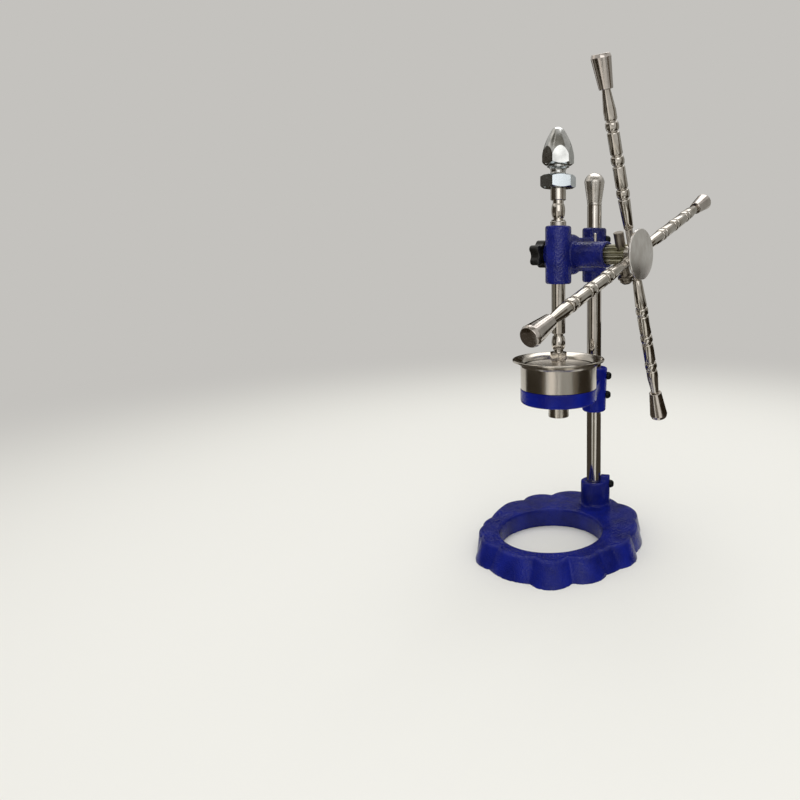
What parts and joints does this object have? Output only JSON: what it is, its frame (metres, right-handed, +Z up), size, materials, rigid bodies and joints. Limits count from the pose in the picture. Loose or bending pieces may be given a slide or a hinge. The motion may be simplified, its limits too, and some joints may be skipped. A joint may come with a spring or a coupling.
{
  "type": "rack and pinion fruit press",
  "caption": "Column press for citrus and pomegranate: a spoked hand wheel turns a pinion that drives a rack and plate into a cup with a spout, over a ring base.",
  "frame": {"origin": "axis of the column at the underside of the base, on the table", "axes": "+Z up along the column, +X along the pinion towards the hand wheel, +Y away from the user, from the cup to the column"},
  "size_m": [0.2017, 0.3974, 0.541],
  "materials": {
    "blue_enamel": "gloss enamel over rough casting",
    "bright_blue_enamel": "gloss enamel over casting",
    "polished_steel": "mirror",
    "satin_steel": "satin turned",
    "zinc_steel": "bright zinc",
    "tooth_steel": "cut and oiled",
    "brass": "turned",
    "black_screw": "black oxide",
    "black_plastic": "matte"
  },
  "bodies": {
    "frame": {"base_casting": "blue_enamel", "base_clamp_screw": "black_screw", "column": "polished_steel", "column_cap": "polished_steel"},
    "head": {"head_casting": "blue_enamel", "head_clamp_screw": "black_screw", "guide_bush_top": "satin_steel", "guide_bush_bottom": "satin_steel", "pinion_bush_rear": "brass", "nose_pin": "satin_steel", "brake_pad": "brass"},
    "press_ram": {"rack": "polished_steel", "rack_sleeve": "polished_steel", "rack_nut": "zinc_steel", "finial": "polished_steel", "plate_collar": "polished_steel", "press_plate": "satin_steel", "press_plate_nut": "satin_steel"},
    "hand_wheel": {"pinion": "tooth_steel", "hub_body": "polished_steel", "hub_disc": "satin_steel", "pinion_cross_bar": "satin_steel", "spoke_1": "polished_steel", "spoke_2": "polished_steel", "spoke_3": "polished_steel", "spoke_4": "polished_steel", "spoke_grip_1": "polished_steel", "spoke_grip_2": "polished_steel", "spoke_grip_3": "polished_steel", "spoke_grip_4": "polished_steel"},
    "brake_screw": {"star_knob": "black_plastic", "star_knob_stud": "zinc_steel"},
    "cup_holder": {"cup_holder_casting": "bright_blue_enamel", "cup_holder_screw_lower": "black_screw", "cup_holder_screw_upper": "black_screw"},
    "cup_set": {"cup": "polished_steel", "spout": "polished_steel", "strainer": "satin_steel"}
  },
  "joints": [
    {"name": "head_height", "type": "slide", "parent": "frame", "child": "head", "axis": [0, 0, 1], "range_m": [0, 0.024]},
    {"name": "wheel_spin", "type": "hinge", "parent": "head", "child": "hand_wheel", "pos_m": [0, -0.0645, 0.3423], "axis": [-1, 0, 0], "range_deg": [-139, 455]},
    {"name": "ram_slide", "type": "slide", "parent": "head", "child": "press_ram", "axis": [0, 0, 1], "range_m": [-0.0238, 0.0778]},
    {"name": "brake_turn", "type": "hinge", "parent": "head", "child": "brake_screw", "pos_m": [-0.02, -0.08, 0.3423], "axis": [-1, 0, 0], "range_deg": [0, 360]},
    {"name": "cup_holder_height", "type": "slide", "parent": "frame", "child": "cup_holder", "axis": [0, 0, 1], "range_m": [-0.075, 0]},
    {"name": "cup_turn", "type": "hinge", "parent": "cup_holder", "child": "cup_set", "pos_m": [0, -0.08, 0.19], "axis": [0, 0, 1], "continuous": true}
  ],
  "couplings": [
    {"joint": "ram_slide", "follows": "wheel_spin", "m_per_rad": 0.00975}
  ]
}
